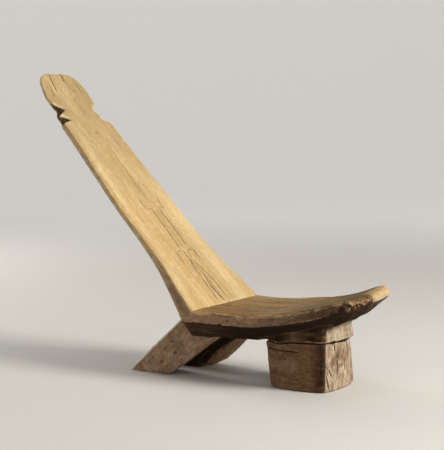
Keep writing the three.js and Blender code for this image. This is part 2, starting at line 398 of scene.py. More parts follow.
DOWELS = [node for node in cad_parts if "dowel" in node]
DOWEL_TREE = cad_tree(DOWELS)
WARP_SIZES = ((95, 0.9, 11), (38, 0.35, 41))


def seams_of(member):
    """How free each vertex is: 0 on a joint or in a dowel's bore, 1 well away from both."""
    others = [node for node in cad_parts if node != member.node]
    distance = clearance(member.co, cad_tree(others), 5 * MM)
    return ease_mm(0.7, 4, distance)


def warp(member):
    """Bends every straight edge a little, by the same amounts in all members, so that joints still meet."""
    keep = ease_mm(2, 22, clearance(member.co, DOWEL_TREE, 24 * MM))
    shift = np.zeros_like(member.co)
    for size, amount, seed in WARP_SIZES:
        for axis in range(3):
            shift[:, axis] += amount * MM * noise(member.co, size, seed + axis)
    shift[:, 2] *= ease_mm(0, 30, member.co[:, 2])
    member.co += shift * keep[:, None]
    member.update()


def flatten_feet(member):
    """Puts what is on the floor back exactly on it."""
    low = member.co[:, 2] < ON_FLOOR
    member.co[low, 2] = 0.0
    member.co[:, 2] = np.maximum(member.co[:, 2], 0.0)
    member.update()


# ---- Wood, as nodes ----

class Graph:
    """A short way to write a material's nodes."""

    def __init__(self, name):
        self.material = bpy.data.materials.new(name)
        self.material.use_nodes = True
        self.tree = self.material.node_tree
        self.shader = self.tree.nodes["Principled BSDF"]

    def node(self, kind, inputs, **settings):
        made = self.tree.nodes.new("ShaderNode" + kind)
        for name, value in settings.items():
            setattr(made, name, value)
        for key, value in inputs.items():
            if isinstance(value, bpy.types.NodeSocket):
                self.tree.links.new(value, made.inputs[key])
            else:
                made.inputs[key].default_value = value
        return made

    def attribute(self, name):
        made = self.node("Attribute", {}, attribute_name=name)
        return made.outputs["Vector" if name == "grain" else "Fac"]

    def noise(self, where, size, detail=2.0, roughness=0.5, distortion=0.0):
        """Noise from 0 to 1. size is in millimetres: along, across and through the grain."""
        scale = tuple(1 / (length * MM) for length in size)
        scaled = self.node("VectorMath", {0: where, 1: scale}, operation="MULTIPLY").outputs[0]
        inputs = {"Vector": scaled, "Scale": 1.0, "Detail": detail, "Roughness": roughness}
        return self.node("TexNoise", {**inputs, "Distortion": distortion}).outputs["Fac"]

    def ramp(self, factor, stops):
        """A colour read off a row of (place, colour) stops."""
        made = self.node("ValToRGB", {"Fac": factor})
        elements = made.color_ramp.elements
        while len(elements) < len(stops):
            elements.new(0.5)
        for element, (place, colour) in zip(elements, stops):
            element.position = place
            element.color = (*colour, 1)
        return made.outputs["Color"]

    def mix(self, factor, a, b, blend="MIX"):
        a, b = (value if isinstance(value, bpy.types.NodeSocket) else (*value, 1) for value in (a, b))
        return self.node("Mix", {0: factor, 6: a, 7: b}, data_type="RGBA", blend_type=blend).outputs[2]

    def math(self, operation, a, b, clamp=False):
        return self.node("Math", {0: a, 1: b}, operation=operation, use_clamp=clamp).outputs[0]

    def add(self, a, b):
        return self.math("ADD", a, b)

    def times(self, a, b, clamp=False):
        return self.math("MULTIPLY", a, b, clamp)

    def between(self, value, low, high, to_low=0.0, to_high=1.0):
        inputs = {"Value": value, "From Min": low, "From Max": high, "To Min": to_low, "To Max": to_high}
        return self.node("MapRange", inputs, interpolation_type="SMOOTHSTEP").outputs["Result"]

    def link(self, value, socket):
        self.tree.links.new(value, self.shader.inputs[socket])


MAUVE = ((0.165, 0.098, 0.060), (0.285, 0.178, 0.110), (0.42, 0.28, 0.175))
BONE = ((0.21, 0.145, 0.095), (0.41, 0.32, 0.225), (0.61, 0.51, 0.385))
# The dark dirt and patina colours darken real dirt and stains, and also painted shade.
DIRT_AND_SHADE = (0.018, 0.010, 0.006)
PATINA_AND_SHADE = (0.085, 0.055, 0.022)
# The pale chalk colour lightens chalky residue, and also painted highlights.
CHALK_AND_HIGHLIGHT = (0.72, 0.64, 0.50)


def wood(name, polished, weathered=MAUVE, bare=BONE, gloss=0.42, streaks=1.0, shine=0.18):
    """Carved wood: dark, middle and light colours where it is polished, weathered and bare."""
    g = Graph(name)
    grain = g.attribute("grain")
    weather, bareness, dirt_and_shade = g.attribute("weather"), g.attribute("bare"), g.attribute("dirt_and_shade")

    figure = g.noise(grain, (260, 9, 9), 4, 0.55, 0.4)
    bands = g.noise(grain, (700, 52, 52), 2, 0.5, 0.2)
    fibres = g.noise(grain, (60, 1.9, 1.9), 3, 0.6)
    fine = g.noise(grain, (14, 0.7, 0.7), 2)
    pores = g.between(g.noise(grain, (11, 1.0, 1.0), 1), 0.68, 0.76)
    blotch = g.noise(grain, (120, 46, 46), 4, 0.6)
    mottle = g.noise(grain, (15, 8, 8), 4, 0.65)
    flecks = g.between(g.noise(grain, (5, 2.4, 2.4), 2), 0.62, 0.72)
    scuffs = g.between(g.noise(grain, (16, 2.2, 2.2), 3, 0.6), 0.6, 0.72)
    specks = g.noise(grain, (3.0, 2.2, 2.2), 3, 0.7)

    blend = g.add(g.times(figure, 0.5 * streaks), g.times(bands, 1 - 0.5 * streaks))
    smooth = g.ramp(blend, ((0.36, polished[0]), (0.5, polished[1]), (0.62, polished[2])))
    smooth = g.mix(g.between(blotch, 0.42, 0.66, 0.32, 0), smooth, polished[0])
    smooth = g.mix(g.times(flecks, 0.3), smooth, polished[0])
    smooth = g.mix(g.between(mottle, 0.5, 0.7, 0, 0.45), smooth, polished[2])
    grit = g.noise(grain, (7, 2.2, 2.2), 3, 0.7)
    smooth = g.mix(g.between(grit, 0.34, 0.48, 0.5, 0), smooth, polished[0])
    smooth = g.mix(g.between(grit, 0.54, 0.66, 0, 0.55), smooth, polished[2])
    rough = g.ramp(mottle, ((0.28, weathered[0]), (0.5, weathered[1]), (0.72, weathered[2])))
    rough = g.mix(g.between(blotch, 0.40, 0.62, 0.3, 0), rough, weathered[0])
    rough = g.mix(g.times(scuffs, 0.35), rough, weathered[2])
    rough = g.mix(g.times(flecks, 0.6), rough, weathered[0])
    raw = g.noise(grain, (14, 12, 22), 5, 0.72, 0.3)
    raw = g.ramp(raw, ((0.32, bare[0]), (0.46, bare[1]), (0.62, bare[2])))
    raw = g.mix(g.between(specks, 0.36, 0.47, 0.6, 0), raw, bare[0])

    colour = g.mix(weather, smooth, rough)
    fibre_tone = g.ramp(fibres, ((0.3, (0.80, 0.75, 0.68)), (0.5, (1, 1, 1)), (0.72, (1.07, 1.07, 1.07))))
    colour = g.mix(0.7 * streaks, colour, fibre_tone, "MULTIPLY")
    fine_tone = g.ramp(fine, ((0.3, (0.88, 0.85, 0.80)), (0.6, (1.03, 1.03, 1.03))))
    colour = g.mix(0.8, colour, fine_tone, "MULTIPLY")
    colour = g.mix(g.times(pores, 0.45 * streaks), colour, polished[0])
    colour = g.mix(bareness, colour, raw)
    # The stain value darkens towards the patina colour: real stains and patina, and painted shade under the
    # seat, in the notches and along some corners and arrises.
    stain_and_shade = g.times(g.attribute("stain_and_shade"), g.between(figure, 0.3, 0.6, 0.8, 1.05), clamp=True)
    colour = g.mix(stain_and_shade, colour, g.mix(1.0, colour, PATINA_AND_SHADE, "MULTIPLY"))
    # The wear value lightens worn edges; it also carries a painted highlight along the back's near margin.
    wear_and_highlight = g.times(g.attribute("wear_and_highlight"), g.between(mottle, 0.35, 0.6, 0.35, 1.0), clamp=True)
    worn_colour = g.mix(weather, polished[2], weathered[2])
    colour = g.mix(g.times(wear_and_highlight, 0.7), colour, worn_colour)
    # The chalk value lightens chalky residue; it also carries painted highlights on the nose's tip and the
    # near leg's rear arris.
    chalk_and_highlight = g.times(g.attribute("chalk_and_highlight"), g.between(specks, 0.36, 0.56, 0.3, 1), clamp=True)
    colour = g.mix(chalk_and_highlight, colour, CHALK_AND_HIGHLIGHT)
    # The dirt value darkens dirt in hollows and cracks, and painted shade under the seat, on the far leg's
    # inner side and in the notches.
    colour = g.mix(g.times(dirt_and_shade, 0.95, clamp=True), colour, DIRT_AND_SHADE)
    g.link(colour, "Base Color")

    rough_level = g.between(weather, 0, 1, gloss, 0.68)
    rough_level = g.add(rough_level, g.times(bareness, 0.3))
    rough_level = g.add(rough_level, g.times(g.math("SUBTRACT", fibres, 0.5), 0.28))
    rough_level = g.add(rough_level, g.times(dirt_and_shade, 0.3))
    rough_level = g.add(rough_level, g.times(stain_and_shade, 0.25))
    rough_level = g.math("SUBTRACT", rough_level, g.times(wear_and_highlight, 0.22), clamp=True)
    g.link(rough_level, "Roughness")
    g.shader.inputs["Specular IOR Level"].default_value = shine

    height = g.times(fibres, 0.5)
    height = g.add(height, g.times(fine, 0.22))
    height = g.math("SUBTRACT", height, g.times(pores, 0.35))
    worn = g.times(g.times(mottle, weather), 1.0)
    height = g.add(height, g.math("SUBTRACT", worn, g.times(flecks, 0.35)))
    height = g.add(height, g.times(g.times(specks, bareness), 1.2))
    bump = g.node("Bump", {"Height": height, "Strength": 0.6, "Distance": 0.0008})
    g.link(bump.outputs["Normal"], "Normal")
    return g.material


# ---- The back plank ----

def back_marks():
    """The cut pattern, the checks in the head and at the foot, and the darker streaks, in millimetres."""
    lines = [
        ([(284, -18), (256, -17)], 0.95, 1.1),
        ([(284, 44), (252, 41)], 0.95, 1.1),
        ([(258, 0), (200, -4), (141, -11)], 0.95, 1.1),
        ([(256, 25), (200, 23), (150, 20)], 0.95, 1.1),
        ([(141, -29), (110, -33)], 1.1, 1.3),
        ([(141, -4), (112, -8)], 1.0, 1.2),
        ([(140, 9), (119, 5)], 0.75, 0.8),
        ([(141, 32), (116, 30)], 0.9, 1.0),
        ([(118, -2), (103, -11)], 1.2, 1.5),
        ([(106, -11), (60, -14), (6, -18)], 0.9, 1.1),
        ([(118, 3), (80, 14), (45, 19), (12, 18)], 0.9, 1.0),
        ([(86, 5), (60, -2), (44, -6)], 0.8, 0.8),
        ([(50, -6), (24, -2), (5, 1)], 1.5, 1.7),
        ([(256, -15), (255, 0)], 0.65, 0.3),
        ([(255, 27), (254, 40)], 0.65, 0.3),
        ([(141, -27), (141, -11)], 0.65, 0.3),
        ([(141, 12), (140, 30)], 0.65, 0.3),
        ([(449, -35), (434, -22)], 0.6, 0.5),
        ([(636, -12), (612, -19), (584, -27)], 0.9, 2.2),
        ([(636, 26), (625, 25), (611, 23)], 1.6, 2.4),
        ([(611, 23), (590, 20), (570, 14)], 0.5, 0.4),
        ([(618, 54), (572, 56)], 0.6, 0.6),
        ([(606, 58), (590, 59)], 0.5, 0.6),
        ([(615, -33), (596, -38), (570, -47)], 0.7, 0.5),
        ([(470, -40), (452, -32)], 0.5, 0.5),
        ([(430, 30), (412, 33)], 0.5, 0.5),
        ([(452, 24), (430, 20)], 0.5, 0.6),
        ([(322, 34), (296, 36)], 0.5, 0.6),
        ([(330, 20), (300, 16)], 0.45, 0.5),
    ]
    marks = []
    for i, (points, width, depth) in enumerate(lines):
        path = [on_back(s, y) for s, y in points]
        marks.append(mark(path, 1.35 * width, 1.1 * depth, dirt=min(1.0, 0.62 + 0.45 * depth), seed=i))
    knots = ((576, -45, 1.8, 1.2), (588, 33, 1.7, 1.3), (562, 13, 1.5, 0.8), (470, 6, 1.5, 0.7))
    for s, y, radius, depth in knots:
        marks.append(mark([on_back(s, y), on_back(s - 5, y - 1)], radius, depth, dirt=0.75, stain_and_shade=0.8))
    streaks = [
        ([(560, 26), (520, 26), (459, 10), (410, 14), (354, 11), (298, 8), (262, 14)], 5.0, 0.34),
        ([(500, 40), (417, 43), (330, 38)], 3.0, 0.16),
        ([(480, -30), (420, -10), (380, -12)], 3.5, 0.2),
        ([(256, 12), (200, 8), (142, 3)], 7.0, 0.2),
        ([(116, -4), (60, 2), (6, 2)], 8.0, 0.26),
        ([(636, 8), (600, -2), (560, 2)], 5.0, 0.2),
        ([(622, -50), (604, -52), (585, -46), (576, -40)], 2.2, 0.4),
        ([(612, -36), (598, -34), (584, -36)], 1.6, 0.3),
        ([(610, 44), (590, 46), (566, 42)], 3.0, 0.22),
    ]
    for i, (points, width, stain_and_shade) in enumerate(streaks):
        marks.append(mark([on_back(s, y) for s, y in points], width, stain_and_shade=stain_and_shade, seed=50 + i))
    return marks


def width_margin(along, across, step=4 * MM):
    """Each vertex's distance inside the outline, across the member, on its own side."""
    bins = np.floor((along - along.min()) / step).astype(int)
    margin = np.empty(len(along))
    for side in (-1, 1):
        widest = np.zeros(bins.max() + 1)
        np.maximum.at(widest, bins, side * across)
        places = along.min() + (np.arange(len(widest)) + 0.5) * step
        chosen = side * across >= 0
        margin[chosen] = np.interp(along[chosen], places, widest) - side * across[chosen]
    return margin


def deepen_notches(member):
    """Draws the tips of the two notches on the right of the head further in, and a little further up."""
    away = member.co - CREASE
    s, y = away @ UP_SLOPE, away[:, 1]
    tips = np.exp(-(((s - 505 * MM) / (8 * MM)) ** 2)) + np.exp(-(((s - 533 * MM) / (9 * MM)) ** 2))
    inward = tips * ease_mm(-72, -46, y) * ease_mm(0, -40, y)
    upward = ease_mm(488, 502, s) * ease_mm(572, 552, s) * ease_mm(-5, -35, y)
    member.co += 6.5 * MM * inward[:, None] * ALONG_Y + 3 * MM * upward[:, None] * UP_SLOPE
    member.update()


def hew_back(member, free, local, margin):
    """Rounds, hews and knocks the back's surface."""
    facing = member.normals @ -BEHIND
    plain = ease_mm(506, 490, local[:, 0])
    member.soften(3, free)
    member.soften(7, free * plain * ease_mm(13, 3, margin) * ease(-0.2, 0.35, facing))
    front = ease(0.3, 0.8, facing)
    rear = ease(-0.3, -0.8, facing)
    side = 1 - front - rear
    hewn = 0.3 * front * (scoops(local, (95, 42, 60), 3) - 0.5)
    hewn += 1.3 * rear * (scoops(local, (62, 26, 60), 7) - 0.5)
    hewn += 0.9 * side * (scoops(local, (34, 60, 16), 9) - 0.5)
    hewn += 0.12 * fractal(local, (90, 5, 5), 21)
    member.push(hewn * MM * free)
    member.soften(1, free)
    member.knock_edges(ease(0.35, 0.8, noise(local, 7, 31)) * free, (0.2, 0.8), 0.6)


def colour_back(member, local, margin):
    """Says where the back is weathered, stained, dirty, worn and pale, and where painted shade and a painted
    highlight go.
    """
    s, y, depth = local.T
    facing = member.normals @ -BEHIND
    values = member.values
    broad = noise(local, (70, 30, 30), 61)
    side_weather = 0.95 - 0.6 * ease_mm(30, 200, s + 30 * MM * broad) * ease(-0.4, 0.0, facing)
    values["weather"] = ease(0.72, 0.3, facing + 0.08 * broad) * side_weather
    bow = BACK_BOW * np.sin(np.pi * s / BACK_LENGTH)
    # Darker along the front arrises: partly patina, partly painted shade where the rounded edge turns away
    # from the light.
    near_edge = ease_mm(8, 1.5, margin + 2 * MM * broad) * ease(0.0, 0.5, facing)
    turned = ease(0.8, 0.5, facing) * ease(-0.5, -0.2, facing) * ease_mm(6, 3, depth - bow)
    right_side = ease_mm(10, -10, y)
    golden = 0.24 * ease_mm(220, 520, s) + 0.12 * ease_mm(-10, 50, y) * ease_mm(260, 100, s)
    golden *= ease(0.3, 0.7, facing) * (1 + 0.5 * noise(local, (60, 16, 30), 83))
    # Painted shade: the inner faces of the notches are darkened with the stain and dirt values.
    notch_shade = ease_mm(495, 500, s) * ease_mm(560, 553, s) * ease_mm(1.6, 3.2, depth - bow)
    notch_shade *= ease(-0.5, 0.0, facing)
    member.raise_to("stain_and_shade", (0.28 + 0.22 * right_side) * near_edge, 0.56 * turned, golden, notch_shade)
    member.raise_to("dirt_and_shade", notch_shade * (0.5 + 0.4 * noise(local, 7, 71)), 0.5 * member.hollows(10, 0.9))
    # A pale band inside the near edge: partly wear, partly a painted highlight.
    pale_band = ease_mm(11, 17, margin) * ease_mm(36, 22, margin) * ease_mm(0, -20, y)
    pale_band *= ease_mm(20, 90, s) * ease_mm(480, 400, s) * (0.75 + 0.5 * broad)
    values["wear_and_highlight"] = ease(0.3, 0.9, member.convexity(5, 0.4)) * (1 - near_edge) * ease_mm(4, 14, s)
    member.raise_to("wear_and_highlight", pale_band)
    at_crease = ease_mm(6, 1.5, s) * ease(0.4, 0.8, facing)
    towards_left = ease_mm(-75, 10, y)
    values["chalk_and_highlight"] = 0.45 * at_crease * towards_left * ease(0.0, 0.5, noise(local, 5, 81))
    values["bare"] = np.zeros(member.count)


def make_back():
    member = Member("back_plank", 2.35, back_marks())
    free = seams_of(member)
    warp(member)
    deepen_notches(member)
    away = member.co - CREASE
    local = np.stack([away @ UP_SLOPE, away[:, 1], away @ BEHIND], axis=1)
    margin = width_margin(local[:, 0], local[:, 1])
    hew_back(member, free, local, margin)
    member.cut_marks()
    colour_back(member, local, margin)
    polished = ((0.46, 0.305, 0.13), (0.595, 0.43, 0.205), (0.77, 0.60, 0.335))
    material = wood("back_wood", polished, gloss=0.4, streaks=0.6)
    member.finish(UP_SLOPE, BEHIND, material)


# ---- The seat ----

def seat_marks():
    holes = [
        (61, -120, 120, 3.3, 6.0), (76, -118, 130, 2.0, 4.0), (90, -117, 131, 1.4, 3.0),
        (-2, -126, 102, 1.6, 3.0), (34, -110, 99, 1.3, 3.0), (166, -109, 130, 1.6, 3.5),
        (263, -99, 158, 1.7, 3.5), (130, -113, 136, 1.0, 2.0), (225, -103, 146, 1.1, 2.0),
        (180, -107, 134, 0.9, 2.0), (52, -121, 126, 0.8, 2.0), (196, -104, 150, 0.8, 1.5),
        (205, -107, 146, 1.3, 2.5), (211, -107, 142, 1.0, 2.0), (150, -110, 131, 0.9, 2.0),
        (99, -115, 127, 1.0, 2.0), (112, -114, 138, 0.8, 2.0), (240, -101, 152, 0.9, 2.0),
        (16, -124, 112, 1.2, 2.5), (24, -123, 134, 0.9, 2.0), (43, -122, 108, 0.9, 2.0),
        (252, -100, 163, 0.8, 2.0), (188, -108, 141, 0.8, 2.0), (66, -119, 118, 1.0, 2.5),
        (120, 112, 130, 1.5, 3.0), (210, 103, 146, 1.2, 2.5), (30, 120, 125, 1.8, 3.5),
    ]
    marks = [hole(at(x, y, z), radius, depth) for x, y, z, radius, depth in holes]
    checks = [
        ([(20, -6), (58, 4), (110, 8), (142, 12)], 0.8, 0.9, 143),
        ([(30, 42), (90, 52), (150, 50)], 0.6, 0.6, 143),
        ([(120, -40), (190, -34), (240, -36)], 0.6, 0.6, 150),
        ([(150, 30), (230, 24), (290, 28)], 0.6, 0.5, 160),
        ([(10, -70), (70, -66), (118, -72)], 0.6, 0.5, 142),
        ([(200, -66), (262, -62)], 0.7, 0.7, 160),
        ([(90, 84), (160, 80)], 0.5, 0.5, 146),
    ]
    for i, (points, width, depth, up) in enumerate(checks):
        path = [at(x, left, up + 0.11 * max(0, x - 120)) for x, left in points]
        marks.append(mark(path, width, depth, dirt=0.8, seed=90 + i))
    splits = [
        ([(42, -121, 143), (56, -120, 140), (70, -119, 139)], 1.3, 1.6, 0.95, 0.0, 97),
        ([(68, -119, 139), (80, -118, 139), (92, -117, 141)], 0.8, 0.8, 0.8, 0.0, 98),
        ([(318, -97, 190), (321, -90, 181), (322, -80, 172)], 1.6, 3.4, 1.0, 0.0, 99),
        ([(322, -80, 172), (320, -72, 166)], 1.0, 2.0, 0.9, 0.0, 89),
        ([(288, -96, 165), (296, -96, 158), (302, -95, 152)], 5.5, 1.6, 0.45, 1.0, 0),
    ]
    marks += [mark([at(*point) for point in points], *rest) for points, *rest in splits]
    for left, up, radius, depth in ((-43, 181, 2.1, 2.2), (-35, 187, 2.0, 1.8), (-60, 176, 1.5, 1.5),
                                    (-20, 178, 1.4, 1.3), (-70, 170, 1.8, 1.8), (-8, 184, 1.2, 1.0)):
        marks.append(hole(at(322, left, up), radius, depth))
    for start, end in (((134, -64, 118), (258, -64, 121)), ((150, -65, 112), (256, -65, 111)),
                       ((137, -64, 104), (215, -65, 107)), ((180, -65, 101), (257, -65, 103))):
        marks.append(mark([at(*start), at(*end)], 0.9, 0.7, dirt=0.5, seed=start[0]))
    return marks


# Millimetres from the crease, and how far the seat's left edge, or its underside, rises there.
NOSE_SAG = ((147, 0), (190, -3.2), (215, -3.6), (250, -2.6), (268, -1.2), (296, 2.0))
NOSE_THINNING = ((240, 0), (262, 1.5), (292, 3.4), (312, 3.4), (330, 1.6))


def curl_nose(member):
    """Lets the seat's left edge sag before the nose, lifts the nose's tip and thins the nose from below."""
    forward = member.co[:, 0] - CREASE[0]
    left = ease_mm(-20, 70, member.co[:, 1])
    upper = ease(-0.2, 0.4, member.normals[:, 2])
    sag = MM * np.interp(forward / MM, *zip(*NOSE_SAG))
    thin = MM * np.interp(forward / MM, *zip(*NOSE_THINNING))
    above_block = ease_mm(0, 10, member.co[:, 0] - BLOCK_HIGH[0])
    member.co[:, 2] += sag * left * upper + thin * above_block * (1 - upper)
    member.co[:, 0] += 1.5 * MM * left * ease_mm(280, 320, forward)
    member.update()


def seat_parts(member):
    """Where the stump, the broken and the rotten stretch of the nose and its smooth tip are, from 0 to 1."""
    x, y, z = member.co.T
    upward = member.normals[:, 2]
    stump = ease_mm(-6, 2, x - BLOCK_LOW[0]) * ease_mm(137, 128, z)
    stump *= ease_mm(78, 72, np.abs(y)) * ease_mm(10, 4, x - BLOCK_HIGH[0])
    nose = ease_mm(-13, -5, x - NOSE_X) * ease(0.72, 0.45, upward)
    stretch = ease_mm(-92, -85, y) * ease_mm(24, 6, y + 6 * MM * noise(member.co, 9, 5))
    rotten = stretch * ease_mm(-26, -15, x - NOSE_X + 6 * MM * noise(member.co, 11, 85))
    smooth_tip = ease_mm(-36, -12, x - NOSE_X) * ease_mm(2, 26, y)
    return SimpleNamespace(stump=stump, nose=nose, smooth_tip=smooth_tip,
                           broken=nose * stretch, rotten=rotten)


def hew_seat(member, free, part):
    """Rounds, hews, breaks and knocks the seat's surface."""
    _, sideways, upward = member.normals.T
    top = ease(0.35, 0.8, upward)
    under = ease(-0.15, -0.5, upward)
    side = (1 - top) * (1 - under)
    upper_arris = ease(0.2, 0.5, upward) * ease(0.97, 0.85, upward) * ease(0.2, 0.4, np.abs(sideways))
    member.soften(26, free * part.smooth_tip)
    member.soften(22, free * member.averaged(upper_arris, 4))
    hewn = 0.35 * top * (scoops(member.co, (70, 38, 60), 13) - 0.5)
    hewn += 1.2 * under * (1 - part.stump) * (scoops(member.co, (52, 24, 60), 17) - 0.5)
    hewn += 0.3 * side * (1 - part.nose) * (scoops(member.co, (34, 60, 16), 19) - 0.5)
    hewn += 0.8 * part.stump * (scoops(member.co, (34, 34, 11), 23) - 0.5)
    hewn += 0.16 * fractal(member.co, (80, 5, 5), 25)
    member.push(hewn * MM * free * (1 - part.smooth_tip))
    crumble = 1.3 + 2.0 * fractal(member.co, 8, 29) + 1.2 * np.abs(noise(member.co, 3.4, 33))
    member.push(-MM * part.broken * np.clip(crumble, 0, 4))
    member.soften(1, free * (1 - part.broken))
    spots = ease(0.4, 0.8, noise(member.co, 5, 35)) * (1 - part.smooth_tip)
    member.knock_edges(spots * free, (0.2, 0.8), 0.45)


def colour_seat(member, part, normal, crack):
    """Says where the seat is weathered, bare, stained, dirty, worn and pale, and where painted shade and
    painted highlights go.
    """
    x, y, z = member.co.T
    ahead = x - CREASE[0]
    forward, _, upward = normal.T
    stump, broken, smooth_tip = part.stump, part.broken, part.smooth_tip
    values = member.values
    broad = noise(member.co, (60, 30, 20), 37)
    top = ease(0.35, 0.75, upward + 0.05 * broad)
    under = ease(-0.28, -0.42, upward + 0.04 * fractal(member.co, 14, 39))
    behind = ease_mm(3, -2, ahead)
    values["weather"] = np.clip((1 - top) * (1 - 0.8 * smooth_tip) * (1 - 0.5 * broken) + behind, 0, 1)
    stump_front = stump * ease(0.35, 0.65, forward)
    chips = broken * ease(0.25, 0.55, noise(member.co, 5, 75))
    values["bare"] = np.clip(0.95 * stump_front + 0.6 * chips, 0, 1)
    beyond = ease_mm(-2, 6, x - BLOCK_HIGH[0]) * ease_mm(137, 145, z)
    nose_under = beyond * ease(0.14, -0.08, upward + 0.12 * fractal(member.co, 12, 77))
    nose_under *= (1 - smooth_tip) * ease(0.1, 0.4, forward)
    under = np.maximum(under * (1 - stump), nose_under)
    rearward = ease_mm(130, 10, ahead)
    corner = corner_shade(member, normal, stump)
    # Painted shade, partly patina: the underside, the stump's sides and the near corner are darkened with the
    # stain value.
    member.raise_to("stain_and_shade", under * (1 - 0.14 * rearward), 0.95 * stump * (1 - stump_front), 0.9 * corner)
    values["bare"] *= 1 - 0.8 * corner
    brown = broken * (1.05 + 0.3 * fractal(member.co, 9, 43)) * (1 - chips)
    member.raise_to("stain_and_shade", brown, 0.7 * part.rotten * (1 - chips))
    towards_nose = ease_mm(20, 270, ahead) * (1 - top) * (1 - smooth_tip)
    member.raise_to("stain_and_shade", 0.66 * towards_nose * (1 - broken) * (1 - stump_front))
    top_front = ease_mm(60, 270, ahead) * top * (1 - smooth_tip)
    lengthwise = fractal(member.co, (90, 9, 9), 79)
    past_crease = 0.3 + 0.7 * ease_mm(0, 80, ahead + 14 * MM * lengthwise)
    top_stain = top * (1 - smooth_tip) * past_crease * (0.30 + 0.25 * lengthwise)
    member.raise_to("stain_and_shade", top_front * (0.72 + 0.35 * lengthwise), top_stain,
                    smooth_tip * (0.30 + 0.3 * broad))
    # Painted shade, partly the real dark patina: the underside and the top of the stump's sides are darkened
    # with the dirt value.
    under_shade_and_patina = under * (0.88 - 0.60 * rearward + 0.25 * lengthwise) * (1 - 0.4 * nose_under)
    stump_top_shade = stump * (1 - stump_front) * ease_mm(104, 122, z)
    member.raise_to("dirt_and_shade", 0.6 * member.hollows(), crack, under_shade_and_patina, 0.6 * stump_top_shade)
    margin = width_margin(x, y)
    # A lighter streak along the near top edge, raised into the wear value.
    near_top_streak = ease_mm(11, 4, margin) * ease_mm(-40, -70, y) * ease(0.3, 0.6, upward)
    near_top_streak *= ease_mm(30, 80, ahead) * ease_mm(250, 190, ahead)
    edge_wear = ease(0.25, 0.8, member.convexity(5, 0.4)) * (1 - 0.8 * under)
    values["wear_and_highlight"] = np.clip(edge_wear + 0.35 * smooth_tip, 0, 1)
    member.raise_to("wear_and_highlight", near_top_streak * (0.4 + 0.4 * broad))
    near_crease = ease_mm(7, 2, ahead) * top * ease_mm(-75, 10, y) * ease_mm(124, 112, y)
    values["chalk_and_highlight"] = 0.5 * near_crease * ease(-0.1, 0.5, noise(member.co, 7, 45))
    # Painted highlight: the very end of the nose's tip is lightened with the chalk value.
    member.raise_to("chalk_and_highlight", 0.3 * smooth_tip * ease_mm(-14, -4, x - NOSE_X))


def make_seat():
    member = Member("seat_plank", 2.05, seat_marks())
    free = seams_of(member)
    warp(member)
    curl_nose(member)
    member.soften(3, free)
    part = seat_parts(member)
    hew_seat(member, free, part)
    crack = open_joint(member, 1)
    normal = member.averaged(member.normals, 5)
    member.cut_marks()
    colour_seat(member, part, normal, crack)
    polished = ((0.19, 0.095, 0.028), (0.36, 0.205, 0.066), (0.64, 0.43, 0.165))
    bare = ((0.16, 0.112, 0.075), (0.31, 0.24, 0.17), (0.46, 0.38, 0.28))
    material = wood("seat_wood", polished, bare=bare, gloss=0.4, shine=0.08)
    member.finish(ALONG_X, ALONG_Z, material)


# ---- The joint between the stump and the front block, which shows ----

def corner_shade(member, normal, where):
    """1 along the vertical corner between the front and the right side, where painted shade darkens the
    rounded corner.
    """
    corner = where * ease(0.2, 0.45, normal[:, 0]) * ease(-0.25, -0.5, normal[:, 1])
    return np.clip(2.2 * member.averaged(corner, 5), 0, 1)


def open_joint(member, side):
    """Bends the joint and breaks its edges open. side is 1 above it and -1 below. Says where the crack is."""
    x, y, _ = member.co.T
    height = (member.co - JOINT_POINT) @ JOINT_NORMAL
    rear, front, right, left = BLOCK_LOW[0], BLOCK_HIGH[0], BLOCK_LOW[1], BLOCK_HIGH[1]
    inside = np.minimum(np.minimum(x - rear, front - x), np.minimum(y - right, left - 16 * MM - y))
    rim = ease_mm(24, 8, inside)
    near_side = ease_mm(26, 14, y - right)
    dip = -3.6 * MM * near_side * np.exp(-(((x - rear - 40 * MM) / (17 * MM)) ** 2))
    dip += 1.8 * MM * ease_mm(10, 50, y)
    place = member.co * (1, 1, 0)
    on_front = ease_mm(-12, -4, x - front)
    gape = 0.3 + 0.5 * np.clip(noise(place, 13, 47) + 0.2, 0, 1)
    gape += on_front * 1.9 * np.clip(noise(place, 7, 49) + 0.1 * noise(place, 3, 50), 0, 1)
    gape *= MM * ease_mm(14, 2, inside)
    shift = dip * rim * ease_mm(20, 2, np.abs(height))
    shift += side * gape * ease_mm(7, 0.8, np.abs(height)) * (height * side > -MM)
    on_member = (height * side > -MM) & (member.co[:, 2] < BELOW_SEAT)
    member.co[:, 2] += shift * on_member
    member.update()
    return ease_mm(2.2, 0.5, np.abs(height)) * on_member


# ---- The rear legs ----

def leg_marks(side):
    if side < 0:
        points = ((-70, 46), (-78, 68), (-30, 96), (-60, 18), (-104, 24), (10, 100))
        marks = [mark([at(x - 6, -77, z), at(x + 6, -77, z + 3)], 2.4, 0.8, dirt=0.3, stain_and_shade=0.8, seed=z)
                 for x, z in points]
        marks.append(mark([at(-60, -77, 60), at(-86, -77, 37)], 0.7, 0.7, dirt=0.7, seed=3))
        marks.append(mark([at(20, -77, 92), at(2, -77, 79), at(-22, -77, 55)], 0.6, 0.6, dirt=0.6, seed=4))
        return marks
    marks = [mark([at(-2, 20, 52), at(-12, 24, 44), at(-20, 26, 34)], 4.5, 4.0, dirt=0.75, stain_and_shade=1.0, seed=5),
             mark([at(-30, 22, 30), at(-44, 22, 20)], 3.0, 2.4, dirt=0.8, seed=6)]
    checks = (((10, 48, 62), (-20, 46, 33)), ((22, 60, 70), (-18, 62, 30)), ((28, 36, 76), (0, 32, 50)))
    for start, end in checks:
        marks.append(mark([at(*start), at(*end)], 0.7, 0.7, dirt=0.7, seed=start[2]))
    return marks


